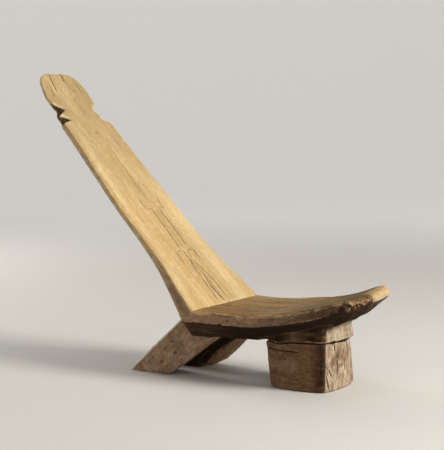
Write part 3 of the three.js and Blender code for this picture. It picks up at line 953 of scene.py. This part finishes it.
def colour_leg(member, side, local, foot):
    """Says where a leg is weathered, bare, stained, dirty, worn and pale, and where painted shade and a
    painted highlight go. side is 1 on the left.
    """
    forward, sideways, upward = member.averaged(member.normals, 4).T
    values = member.values
    front = ease(0.3, 0.7, forward) * ease(0.1, -0.3, upward)
    broad = noise(local, (40, 24, 24), 59)
    warm = ease(0.15, 0.7, noise(local, (60, 30, 22), 63))
    values["weather"] = np.clip(1 - (0.75 if side > 0 else 0.3) * front - 0.3 * warm, 0, 1)
    member.raise_to("stain_and_shade", 0.2 * ease(0.0, 0.7, broad) * (1 - front))
    if side > 0:
        # Painted shade: the far leg's inner side is darkened with the stain and dirt values.
        inner = ease(-0.3, -0.7, sideways) * (1 - front)
        member.raise_to("stain_and_shade", 0.92 * inner, 0.4 * front)
        member.raise_to("dirt_and_shade", 0.45 * inner)
    member.raise_to("dirt_and_shade", 0.55 * member.hollows())
    values["wear_and_highlight"] = ease(0.2, 0.8, member.convexity(5, 0.4)) * 0.8
    values["bare"] = 0.55 * foot * ease(0.1, 0.6, noise(local, 16, 65))
    # Painted highlight: a pale line along the near leg's upper rear arris, carried by the chalk value.
    rim_highlight = ease(-0.05, -0.35, forward) * ease(-0.1, -0.3, sideways) * ease(-0.98, -0.9, sideways)
    rim_highlight = np.clip(1.6 * member.averaged(rim_highlight, 3), 0, 1)
    values["chalk_and_highlight"] = 0.9 * rim_highlight * (side < 0)


def make_leg(node, side):
    member = Member(node, 1.6, leg_marks(side))
    free = seams_of(member)
    warp(member)
    member.soften(3, free)
    across = np.cross(ALONG_LEG, ALONG_Y)
    local = np.stack([member.co @ ALONG_LEG, member.co[:, 1], member.co @ across], axis=1)
    foot = ease_mm(24, 4, member.co[:, 2])
    floor_edge = foot * ease(-0.9, -0.5, member.normals[:, 2])
    member.soften(14, free * floor_edge * 0.8)
    hewn = 0.9 * (scoops(local, (46, 24, 24), 51 + side) - 0.5)
    hewn += 0.22 * fractal(local, (50, 5, 5), 53)
    hewn += 0.25 * fractal(local, 9, 55)
    member.push(hewn * MM * free * ease(-0.95, -0.8, member.normals[:, 2]))
    member.knock_edges(ease(0.25, 0.75, noise(local, 7, 57)) * free, (0.15, 0.8), 0.6)
    member.cut_marks()
    toe = ease_mm(10, 3, member.co[:, 0] - member.co[:, 0].min()) * ease_mm(14, 8, member.co[:, 2])
    member.soften(24, toe)
    flatten_feet(member)
    colour_leg(member, side, local, foot)
    polished = ((0.24, 0.13, 0.06), (0.48, 0.29, 0.135), (0.66, 0.46, 0.25))
    weathered = ((0.145, 0.088, 0.053), (0.285, 0.182, 0.114), (0.44, 0.305, 0.203))
    material = wood(node + "_wood", polished, weathered, gloss=0.55, streaks=0.7, shine=0.12)
    member.finish(ALONG_LEG, across, material)


# ---- The front block ----

def block_marks():
    marks = [
        mark([at(134, -72, 77), at(160, -74, 75), at(212, -73, 76)], 1.3, 2.6, dirt=1.0, seed=101),
        mark([at(170, -74, 71), at(196, -74, 72)], 0.7, 0.6, dirt=0.5, seed=102),
        mark([at(262, -33, 90), at(262, -32, 78)], 0.8, 1.6, dirt=0.9, seed=103),
        mark([at(262, 8, 60), at(262, 6, 34)], 0.8, 0.8, dirt=0.5, seed=104),
        mark([at(262, -20, 70), at(262, -24, 28)], 0.7, 0.7, dirt=0.35, seed=106),
        mark([at(200, 60, 60), at(240, 60, 58)], 0.9, 1.2, dirt=0.8, seed=108),
        hole(at(180, -74, 60), 1.0, 2.0), hole(at(228, -73, 40), 1.2, 2.0), hole(at(205, -74, 22), 1.0, 2.0),
    ]
    for i, (left, up, length) in enumerate(((-60, 30, 14), (-58, 22, 14), (-56, 14, 12), (-50, 40, 12))):
        path = [at(262, left, up + 5), at(262, left + 9, up - length)]
        marks.append(mark(path, 1.0, 0.6, dirt=0.2, seed=110 + i))
    return marks


def hew_block(member, free):
    """Rounds, hews and knocks the block's surface."""
    x, y, z = member.co.T
    lip = ease_mm(22, 2, x - BLOCK_LOW[0])
    lip *= ease_mm(98, 88, z) * ease_mm(76, 80, z)
    front_left = ease_mm(-26, 0, x - BLOCK_HIGH[0]) * ease_mm(30, 62, y)
    member.soften(30, free * front_left * ease_mm(70, 20, z))
    hewn = 0.8 * (scoops(member.co, (34, 30, 26), 131) - 0.5)
    hewn += 0.2 * fractal(member.co, (60, 60, 5), 133) * ease(0.8, 0.4, np.abs(member.normals[:, 0]))
    hewn += 0.3 * fractal(member.co, (60, 18, 26), 135) * ease(0.4, 0.8, np.abs(member.normals[:, 0]))
    hewn += 0.25 * fractal(member.co, 8, 137)
    hewn += 1.4 * lip
    member.push(hewn * MM * free * ease(-0.95, -0.8, member.normals[:, 2]))
    spots = ease(0.1, 0.6, noise(member.co, 8, 139)) * free
    by_corner = ease_mm(-14, -6, x - BLOCK_HIGH[0]) * ease_mm(-50, -60, y)
    member.knock_edges(spots * (1 - 0.7 * by_corner), (0.15, 0.8), 1.6)


def colour_block(member, crack):
    """Says where the block is weathered, bare, stained, dirty, worn and pale, and where painted shade goes
    along the near front corner.
    """
    x, y, z = member.co.T
    forward, sideways, _ = member.normals.T
    values = member.values
    front = ease(0.45, 0.75, forward)
    broad = noise(member.co, (36, 30, 24), 141)
    smudge = ((y + 2 * MM) / (42 * MM)) ** 2 + ((z - 60 * MM) / (20 * MM)) ** 2
    smudge = ease(1.3, 0.5, smudge + 0.5 * broad) * ease(-0.45, 0.15, fractal(member.co, 9, 143))
    lower_right = ease_mm(0, 40, y) * ease_mm(60, 30, z) * ease(-0.1, 0.5, fractal(member.co, 10, 145))
    values["bare"] = front * (1 - np.maximum(0.8 * smudge, 0.6 * lower_right))
    values["weather"] = np.clip(1 - 0.3 * ease(0, 0.6, broad), 0, 1)
    to_corner = 0.85 * ease_mm(-44, -14, x - BLOCK_HIGH[0] + 4 * MM * broad)
    dark_band = to_corner * ease(-0.3, -0.5, sideways) * ease(0.55, 0.4, forward)
    # Painted shade along the rounded near front corner.
    corner = corner_shade(member, member.normals, 1.0)
    values["bare"] *= 1 - 0.8 * corner
    dark_band = np.maximum(dark_band, corner)
    member.raise_to("stain_and_shade", 0.85 * dark_band, 0.3 * ease(0.1, 0.6, broad) * (1 - front))
    member.raise_to("dirt_and_shade", 0.55 * member.hollows(), crack)
    values["wear_and_highlight"] = ease(0.2, 0.8, member.convexity(5, 0.4)) * 0.75 * (1 - dark_band)
    slanted = np.stack([x, y + 0.35 * z, z - 0.35 * y], axis=1)
    scraped = noise(slanted, (40, 3.4, 20), 147) - 0.5 * ease_mm(-30, 20, y)
    values["chalk_and_highlight"] = 0.28 * front * (1 - corner) * ease(0.2, 0.6, scraped) * ease_mm(70, 40, z)


def make_block():
    member = Member("front_leg_block", 1.6, block_marks())
    free = seams_of(member)
    warp(member)
    member.soften(3, free)
    hew_block(member, free)
    crack = open_joint(member, -1)
    member.cut_marks()
    flatten_feet(member)
    colour_block(member, crack)
    polished = ((0.20, 0.125, 0.065), (0.33, 0.22, 0.125), (0.56, 0.43, 0.28))
    weathered = ((0.086, 0.045, 0.021), (0.143, 0.080, 0.039), (0.23, 0.14, 0.074))
    bare = ((0.135, 0.09, 0.055), (0.275, 0.2, 0.133), (0.50, 0.40, 0.275))
    material = wood("block_wood", polished, weathered, bare, gloss=0.6, streaks=0.6, shine=0.1)
    member.finish(ALONG_X, ALONG_Z, material)


# ---- The dowels keep their CAD meshes ----

def finish_dowels():
    g = Graph("dowel_wood")
    where = g.node("TexCoord", {}).outputs["Object"]
    fibres = g.noise(where, (3, 3, 30), 3, 0.6)
    rings = g.noise(where, (6, 6, 60), 2)
    colour = g.ramp(rings, ((0.3, (0.30, 0.18, 0.08)), (0.7, (0.50, 0.33, 0.17))))
    shade = g.ramp(fibres, ((0.3, (0.72, 0.68, 0.6)), (0.6, (1, 1, 1))))
    g.link(g.mix(0.8, colour, shade, "MULTIPLY"), "Base Color")
    g.link(g.between(fibres, 0.3, 0.7, 0.75, 0.55), "Roughness")
    bump = g.node("Bump", {"Height": fibres, "Strength": 0.5, "Distance": 0.0004})
    g.link(bump.outputs["Normal"], "Normal")
    for node in DOWELS:
        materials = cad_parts[node].data.materials
        materials.clear()
        materials.append(g.material)


# ---- The camera, lights and floor ----

FOCAL_LENGTH = 112.35
SENSOR = 36
CAMERA_AZIMUTH = math.radians(32.182)
CAMERA_PITCH = math.radians(5.891)
CAMERA_PLACE = (1.5466, -2.3726, 0.590)


def make_camera():
    data = bpy.data.cameras.new("camera")
    data.lens = FOCAL_LENGTH
    data.sensor_width = SENSOR
    data.clip_start = 0.05
    data.clip_end = 60
    camera = bpy.data.objects.new("camera", data)
    camera.location = CAMERA_PLACE
    camera.rotation_euler = (math.pi / 2 - CAMERA_PITCH, 0, CAMERA_AZIMUTH)
    scene.collection.objects.link(camera)
    scene.camera = camera


def make_light(name, place, target, size, power, colour):
    data = bpy.data.lights.new(name, "AREA")
    data.shape = "RECTANGLE"
    data.size, data.size_y = size
    data.energy = power
    data.color = colour
    light = bpy.data.objects.new(name, data)
    light.location = place
    light.rotation_euler = (Vector(target) - Vector(place)).to_track_quat("-Z", "Y").to_euler()
    scene.collection.objects.link(light)


def make_stage():
    """A round pale floor that curves up far away, so that it has no edge or horizon in any view."""
    flat, rise, height, sides, steps = 4.2, 2.2, 5.0, 96, 14
    profile = [(0.0, 0.0), (flat, 0.0)]
    for i in range(1, steps + 1):
        turn = math.pi / 2 * i / steps
        profile.append((flat + rise * math.sin(turn), rise * (1 - math.cos(turn))))
    profile.append((flat + rise, height))
    bm = bmesh.new()
    centre = bm.verts.new((0, 0, 0))
    rings = []
    for radius, z in profile[1:]:
        angles = [2 * math.pi * i / sides for i in range(sides)]
        rings.append([bm.verts.new((radius * math.cos(a), radius * math.sin(a), z)) for a in angles])
    for i in range(sides):
        j = (i + 1) % sides
        bm.faces.new((centre, rings[0][i], rings[0][j]))
        for inner, outer in zip(rings[:-1], rings[1:]):
            bm.faces.new((inner[i], outer[i], outer[j], inner[j]))
    mesh = bpy.data.meshes.new("floor")
    bm.to_mesh(mesh)
    bm.free()
    mesh.polygons.foreach_set("use_smooth", np.ones(len(mesh.polygons), bool))
    g = Graph("floor")
    g.shader.inputs["Base Color"].default_value = (0.66, 0.645, 0.62, 1)
    g.shader.inputs["Roughness"].default_value = 0.7
    g.shader.inputs["Emission Color"].default_value = (1.0, 0.98, 0.95, 1)
    place = g.node("NewGeometry", {}).outputs["Position"]
    distance = g.node("VectorMath", {0: place}, operation="LENGTH").outputs["Value"]
    g.link(g.between(distance, 1.2, 3.6, 0, 0.3), "Emission Strength")
    mesh.materials.append(g.material)
    floor = bpy.data.objects.new("floor", mesh)
    scene.collection.objects.link(floor)


def make_lights():
    make_light("key", (2.6, 0.25, 1.55), (0.0, 0.0, 0.25), (1.0, 1.0), 92, (1.0, 0.95, 0.87))
    make_light("fill", (-1.2, -3.0, 1.4), (0.0, 0.0, 0.2), (2.0, 1.6), 8, (1.0, 0.95, 0.88))
    make_light("rim", (-2.3, 0.6, 1.2), (0.0, 0.0, 0.2), (0.8, 1.2), 22, (1.0, 0.97, 0.92))
    make_light("top", (0.2, 0.1, 3.2), (0.0, 0.0, 0.0), (2.5, 2.5), 12, (1.0, 1.0, 1.0))
    world = bpy.data.worlds.new("studio")
    world.use_nodes = True
    world.node_tree.nodes["Background"].inputs["Color"].default_value = (0.9, 0.93, 1.0, 1)
    world.node_tree.nodes["Background"].inputs["Strength"].default_value = 0.1
    scene.world = world
    scene.view_settings.view_transform = "Standard"


make_camera()
make_stage()
make_lights()

make_back()
make_seat()
make_leg("rear_leg_left", 1)
make_leg("rear_leg_right", -1)
make_block()
finish_dowels()
